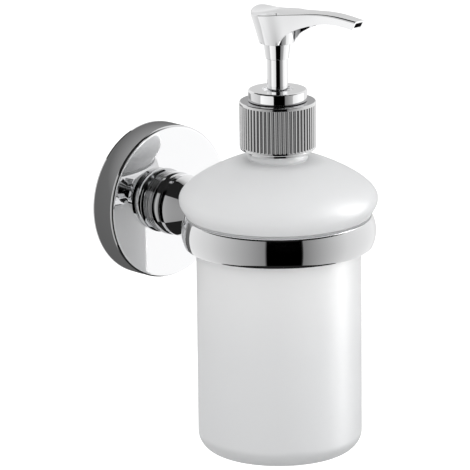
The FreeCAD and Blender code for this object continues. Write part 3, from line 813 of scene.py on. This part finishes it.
def make_pump_head():
    """Hood with a dished top, flat sides and an open pocket under the spout."""
    bm = bmesh.new()
    across, down = 10, 8
    lip = 0.85
    halves = []
    for side in (1, -1):
        strips = []
        for top, centre, low, low_z in head_stations():
            edge_z = along(TOP_EDGE, top[1])
            dish = along(DISH, top[1])
            run = math.hypot(top[0], top[1] - centre)
            inset = 1 - min(HEAD_EDGE / run, 0.3)
            drop = HEAD_EDGE / (edge_z - low_z)
            strip = []
            for k in range(across + 1):
                t = inset * k / across
                strip.append(Vector((
                    top[0] * t, centre + (top[1] - centre) * t,
                    along(TOP_EDGE, centre + (top[1] - centre) * t) - dish * (1 - t ** 2.4))))
            corner = Vector((*top, edge_z))
            foot = Vector((*low, low_z))
            onset = corner.lerp(foot, drop)
            for k in range(1, 6):
                t = k / 6
                strip.append(strip[across] * (1 - t) ** 2 + corner * 2 * t * (1 - t) + onset * t * t)
            for k in range(down + 1):
                strip.append(onset.lerp(foot, k / down))
            pocket = along(POCKET, low[1]) if low[1] > 5.3 else 0.6
            inner = max(low[0] - lip, 0.0)
            rise = min(pocket, edge_z - dish - 1.2 - low_z)
            strip.append((inner, low[1] * (1 if low[1] > 5.3 else inner / max(low[0], 0.01)), low_z))
            strip.append((inner * 0.97, strip[-1][1], low_z + rise))
            strip.append((0.0, strip[-1][1] if low[1] > 5.3 else 0.0, low_z + rise))
            strips.append([bm.verts.new(Vector((side * x, -REACH - s, z)) * MM) for x, s, z in strip])
        halves.append(strips)
        for first, second in zip(strips, strips[1:]):
            for k in range(len(first) - 1):
                bm.faces.new((first[k], first[k + 1], second[k + 1], second[k]))
        bm.faces.new(strips[-1])
    bmesh.ops.remove_doubles(bm, verts=bm.verts, dist=2e-6)
    bmesh.ops.dissolve_degenerate(bm, edges=bm.edges, dist=1e-6)
    bmesh.ops.recalc_face_normals(bm, faces=bm.faces)
    hood = finished_mesh(bm)
    tip = (LOW_EDGE[-1][1] + along(TOP_EDGE, SPOUT_REACH)) / 2
    nozzle = bmesh.new()
    size = Matrix.Diagonal((3.7, 14.0, 1.9, 1.0))
    place = Matrix.Translation(Vector((0, -REACH - SPOUT_REACH, tip)) * MM)
    bmesh.ops.create_cube(nozzle, size=MM, matrix=place @ size)
    hole = bpy.data.meshes.new("nozzle")
    nozzle.to_mesh(hole)
    nozzle.free()
    hood.materials.append(FINISHES["pump_chrome"])
    # The bore's near-black colour is painted shade inside the nozzle.
    hole.materials.append(BORE_SHADE)
    mesh = carved(hood, [hole], 0.00028)
    add_piece("pump_head_polished", mesh, "head", ["pump_head"], [FINISHES["pump_chrome"], BORE_SHADE])


def make_head_hub():
    """Round hub inside the hood that the stem goes up into."""
    bore = 2.6
    top = HEAD_LOW + 9.5
    hub = [(bore, HEAD_LOW, EDGE), (6.9, HEAD_LOW, 0.25), (7.6, top, EDGE), (bore, top, EDGE)]
    piece = bpy.data.objects.new("pump_head_hub", lathe(hub, segments=96))
    bpy.context.scene.collection.objects.link(piece)
    piece.data.materials.append(FINISHES["pump_chrome"])
    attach(piece, "head")


def make_return_spring(coil):
    wire = 0.45
    radius = SPRING_OUT - wire
    height = SPRING_HIGH - SPRING_LOW - 2 * wire
    mesh = grown(bpy.data.meshes.new("empty"), coil, {
        "Turns": 8.0, "Radius": radius * MM, "Wire radius": wire * MM, "Height": height * MM,
        "Foot": (0, -REACH * MM, (SPRING_LOW + wire) * MM), "Finish": FINISHES["spring_steel"]})
    spring = add_piece("return_spring_wound", mesh, "pump", ["return_spring"])
    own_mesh(spring)


# ---------------------------------------------------------------- studio

def make_camera():
    """Looks down on the ring's centre from the left front, through a long lens."""
    turn, tilt, roll = math.radians(-43.49), CAMERA_TILT, math.radians(-0.448)
    away = 1.726
    back = Vector((math.sin(turn) * math.cos(tilt), -math.cos(turn) * math.cos(tilt), math.sin(tilt)))
    right = Vector((math.cos(turn), math.sin(turn), 0))
    up = back.cross(right)
    across = right * math.cos(roll) + up * math.sin(roll)
    above = up * math.cos(roll) - right * math.sin(roll)
    data = bpy.data.cameras.new("camera")
    data.sensor_width = 36.0
    data.lens = 326.5
    data.shift_x = -0.0929
    data.shift_y = -0.0107
    data.clip_end = 100
    camera = bpy.data.objects.new("camera", data)
    turned = Matrix((across, above, back)).transposed().to_4x4()
    camera.matrix_world = Matrix.Translation(Vector((0, -REACH * MM, 0)) + back * away) @ turned
    bpy.context.scene.collection.objects.link(camera)
    bpy.context.scene.camera = camera
    return math.atan2(back.y, back.x)


def make_floor():
    finish = Finish("pale_floor", Roughness=0.9, Specular_IOR_Level=0.1, Emission_Strength=0.3)
    finish.set("Emission Color", (1.0, 1.0, 1.0, 1))
    finish.set("Base Color", (0.95, 0.95, 0.95, 1))
    mesh = bpy.data.meshes.new("floor")
    half = 12.0
    level = -0.30
    corners = [(-half, -half, level), (half, -half, level), (half, half, level), (-half, half, level)]
    mesh.from_pydata(corners, [], [(0, 1, 2, 3)])
    mesh.materials.append(finish.material)
    put_on_stage("floor", mesh)


def put_on_stage(name, mesh, glossy=False):
    """A backdrop that either the camera sees or only chrome mirrors."""
    card = bpy.data.objects.new(name, mesh)
    bpy.context.scene.collection.objects.link(card)
    card.visible_glossy = glossy
    card.visible_camera = not glossy
    card.visible_diffuse = False
    card.visible_transmission = False
    card.visible_shadow = not glossy


def make_shade_card():
    """Glowing grey card flat on the wall round the flange, which its rim mirrors: painted wall shade,
    darkest beside it.
    """
    finish = Finish("shade_card", Roughness=1.0, Specular_IOR_Level=0.0, Emission_Strength=1.0)
    finish.set("Base Color", (0.0, 0.0, 0.0, 1))
    parts = finish.node("ShaderNodeSeparateXYZ", None, {"Vector": finish.place})
    aside, height = Number(finish, parts.outputs[0]), Number(finish, parts.outputs[2])
    radius = (aside * aside + height * height) ** 0.5
    # Painted shade: a glowing grey, darkest next to the flange and lighter upwards and outwards.
    finish.set("Emission Color", finish.node("ShaderNodeValToRGB", {
        "stops": [(0.0, 0.11), (0.5, 0.14), (0.75, 0.30), (1.0, 0.60)]}, {
            "Fac": height * 9.0 + (radius - 0.034) * 22.0 + 0.28}))
    bm = bmesh.new()
    steps = 48
    rows = []
    for k in range(steps + 1):
        turn = math.radians(55 + 205 * k / steps)
        rows.append([bm.verts.new(Vector((r * math.cos(turn), -0.5, r * math.sin(turn))) * MM)
                     for r in (COVER_R + 0.2, 38.0, 46.0)])
    for first, second in zip(rows, rows[1:]):
        for k in (0, 1):
            bm.faces.new((first[k], first[k + 1], second[k + 1], second[k]))
    mesh = finished_mesh(bm)
    mesh.materials.append(finish.material)
    put_on_stage("shade_card", mesh, glossy=True)


# The studio's walls, as chrome shows them: on each side a screen that brightens evenly away from a black
# gap round the camera, brightest a little short of the back. Bearing in degrees to the camera's right.
GAP_LEFT, GAP_RIGHT = -16, 29
WALL_GREYS = [
    (-180, 0.80), (-150, 0.92), (-90, 0.80), (GAP_LEFT, 0.50), (GAP_LEFT + 1, 0.0),
    (GAP_RIGHT - 1, 0.0), (GAP_RIGHT, 0.47), (90, 0.82), (150, 0.92), (180, 0.80)]
CAMERA_TILT = math.radians(14.89)
CEILING_LOW = math.radians(36)
CEILING_END = math.radians(100)
FLOOR_LOW = math.radians(-54)
SOFT_LEVEL = 1.0
SOFT_LEAN = 0.28


def make_world(camera_bearing):
    """White studio with a dark ceiling and floor. Chrome mirrors the walls' greys, matt and frosted
    pieces are lit from the camera's side, and the camera sees plain white."""
    world = bpy.data.worlds.new("studio")
    bpy.context.scene.world = world
    world.use_nodes = True
    tree = Tree(world.node_tree)
    world.node_tree.nodes.clear()
    ray = tree.node("ShaderNodeTexCoord").outputs["Generated"]
    turn = tree.node("ShaderNodeVectorRotate", {"rotation_type": "Z_AXIS"}, {
        "Vector": ray, "Angle": -camera_bearing})
    parts = tree.node("ShaderNodeSeparateXYZ", None, {"Vector": turn})
    ahead, aside, height = (Number(tree, parts.outputs[k]) for k in range(3))
    bearing = tree.number("ShaderNodeMath", {"operation": "ARCTAN2"}, {0: aside, 1: ahead})
    column = bearing * 2.0 / (1.0 + math.cos(CAMERA_TILT) / (1.0001 - height * height) ** 0.5)
    walls = tree.node("ShaderNodeValToRGB", {"stops": ring_stops()}, {"Fac": column / (2 * math.pi) + 0.5})
    ceiling = (height > math.sin(CEILING_LOW)) * (bearing < CEILING_END)
    mirrored = tree.node("ShaderNodeMix", {"data_type": "RGBA"}, {
        "Factor": ceiling + (height < math.sin(FLOOR_LOW)), 6: walls,
        7: (0.015, 0.015, 0.015, 1)})
    path = tree.node("ShaderNodeLightPath").outputs
    around = tree.node("ShaderNodeMix", {"data_type": "RGBA"}, {
        "Factor": path["Is Camera Ray"], 6: SOFT_LEVEL + ahead * SOFT_LEAN, 7: (1, 1, 1, 1)})
    seen = tree.node("ShaderNodeMix", {"data_type": "RGBA"}, {
        "Factor": path["Is Glossy Ray"], 6: around.outputs[2], 7: mirrored.outputs[2]})
    light = tree.node("ShaderNodeBackground", None, {"Color": seen.outputs[2], "Strength": 1.0})
    tree.node("ShaderNodeOutputWorld", None, {"Surface": light})


def ring_stops():
    """The walls' greys as ramp stops over a full turn that starts behind the camera's view."""
    stops = []
    for degrees, grey in WALL_GREYS:
        stops.append(((degrees + 180) / 360, grey ** 2.2 / 0.92))
    return stops


def make_panel(name, camera_bearing, bearing, tilt, size, level, receivers):
    """A soft light panel a metre off that only some pieces mirror."""
    turn = camera_bearing + math.radians(bearing)
    rise = math.radians(tilt)
    away = Vector((math.cos(turn) * math.cos(rise), math.sin(turn) * math.cos(rise), math.sin(rise)))
    data = bpy.data.lights.new(name, "AREA")
    data.shape = "RECTANGLE"
    data.size, data.size_y = size
    data.energy = 4 * size[0] * size[1] * level
    light = bpy.data.objects.new(name, data)
    light.location = Vector((0, -REACH, 40.0)) * MM + away
    light.rotation_euler = (-away).to_track_quat("-Z", "Y").to_euler()
    light.visible_camera = False
    light.visible_diffuse = False
    light.visible_transmission = False
    bpy.context.scene.collection.objects.link(light)
    lit = bpy.data.collections.new(name + "_receivers")
    for piece in receivers:
        lit.objects.link(bpy.data.objects[piece])
    light.light_linking.receiver_collection = lit


STEM_PIECES = ["collar_polished", "stem_sleeve_polished", "stem_ferrule_polished", "pump_head_hub"]


def make_lights(camera_bearing):
    """Soft overhead fill, and panels that whiten the pump's and the flange's reflections."""
    data = bpy.data.lights.new("top", "AREA")
    data.size = 1.2
    data.energy = 3.0
    light = bpy.data.objects.new("top", data)
    light.location = (-0.2, -0.2, 1.4)
    light.visible_glossy = False
    bpy.context.scene.collection.objects.link(light)
    make_panel("left_panel", camera_bearing, -43, -15, (1.0, 2.0), 0.42, STEM_PIECES)
    make_panel("low_panel", camera_bearing, -54, -34, (1.25, 1.1), 0.27, ["pump_head_polished"])
    make_panel(
        "right_panel", camera_bearing, 93, -15, (1.2, 1.6), 0.30,
        ["flange_cover_polished", "pump_head_polished"] + STEM_PIECES)
    make_panel("streak_panel", camera_bearing, 93, 0, (0.22, 2.0), 26.0, ["bottle_frosted"])


bpy.context.scene.view_settings.view_transform = "Standard"
dress_cad_nodes()
make_flange_cover()
make_post_rings()
make_post_knob()
make_ring_holder()
make_ring_liner()
COIL = coil_tree()
make_bottle(COIL)
make_neck_ring()
make_cap_shell()
make_collar()
make_stem()
make_pump_head()
make_head_hub()
make_return_spring(COIL)
make_floor()
make_shade_card()
BEARING = make_camera()
make_world(BEARING)
make_lights(BEARING)
